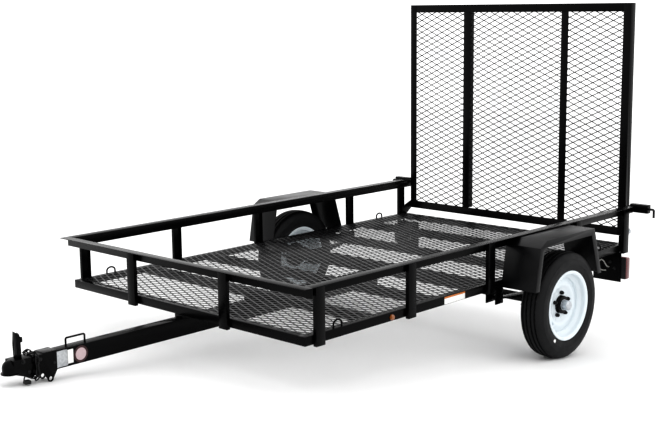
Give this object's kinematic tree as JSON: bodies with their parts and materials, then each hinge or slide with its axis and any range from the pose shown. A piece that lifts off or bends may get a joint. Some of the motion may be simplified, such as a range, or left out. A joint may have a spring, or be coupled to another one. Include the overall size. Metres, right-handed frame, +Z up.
{
  "type": "utility trailer",
  "caption": "Single-axle open utility trailer with a mesh floor, a top rail, a folding mesh ramp gate, square fenders and a ball coupler, parked nose down.",
  "frame": {"origin": "on the ground, under the middle of the parked trailer's box", "axes": "+X forward, towards the coupler; +Y left; +Z up. The trailer is parked nose down, so its bed dips 6 degrees towards +X."},
  "size_m": [3.3458, 1.904, 1.7569],
  "materials": {
    "black_paint": "black gloss powder coat",
    "zinc": "bright zinc plate",
    "white_paint": "white gloss enamel",
    "tyre_rubber": "black moulded rubber",
    "red_lens": "red moulded lens",
    "amber_lens": "amber moulded lens",
    "black_plastic": "moulded black plastic"
  },
  "bodies": {
    "trailer": {"axle_beam": "black_paint", "coupler": "black_paint", "coupler_clamp": "black_paint", "coupler_lever": "zinc", "crossmembers": "black_paint", "fender_left": "black_paint", "fender_right": "black_paint", "floor_mesh": "black_paint", "frame_front": "black_paint", "frame_rear": "black_paint", "frame_side_left": "black_paint", "frame_side_right": "black_paint", "gate_hinges": "black_paint", "gate_latches": "black_paint", "lamp_brackets": "black_paint", "latch_pins": "zinc", "rail_front": "black_paint", "rail_side_left": "black_paint", "rail_side_right": "black_paint", "safety_chain": "zinc", "side_markers": "amber_lens", "spring_hangers": "black_paint", "spring_left": "black_paint", "spring_plates": "black_paint", "spring_right": "black_paint", "tail_lamps": "red_lens", "tie_down_rings": "black_paint", "tongue": "black_paint", "tongue_handle": "black_paint", "tongue_spacers": "black_paint", "uprights_front": "black_paint", "uprights_left": "black_paint", "uprights_right": "black_paint", "wiring_cord": "black_plastic", "wiring_grommet": "black_plastic", "wiring_plug": "black_plastic"},
    "wheel_left": {"rim_left": "white_paint", "tyre_left": "tyre_rubber", "hub_left": "black_paint", "dust_cap_left": "zinc"},
    "wheel_right": {"rim_right": "white_paint", "tyre_right": "tyre_rubber", "hub_right": "black_paint", "dust_cap_right": "zinc"},
    "gate": {"gate_stiles": "black_paint", "gate_bottom": "black_paint", "gate_top": "black_paint", "gate_bars": "black_paint", "gate_mesh": "black_paint"}
  },
  "joints": [
    {"name": "wheel_left_spin", "type": "hinge", "parent": "trailer", "child": "wheel_left", "pos_m": [-0.78673, 0.887, 0.258], "axis": [0, 1, 0], "continuous": true},
    {"name": "wheel_right_spin", "type": "hinge", "parent": "trailer", "child": "wheel_right", "pos_m": [-0.78673, -0.887, 0.258], "axis": [0, 1, 0], "continuous": true},
    {"name": "gate_fold", "type": "hinge", "parent": "trailer", "child": "gate", "pos_m": [-1.64831, 0, 0.55713], "axis": [0, -1, 0], "range_deg": [0, 122]}
  ]
}
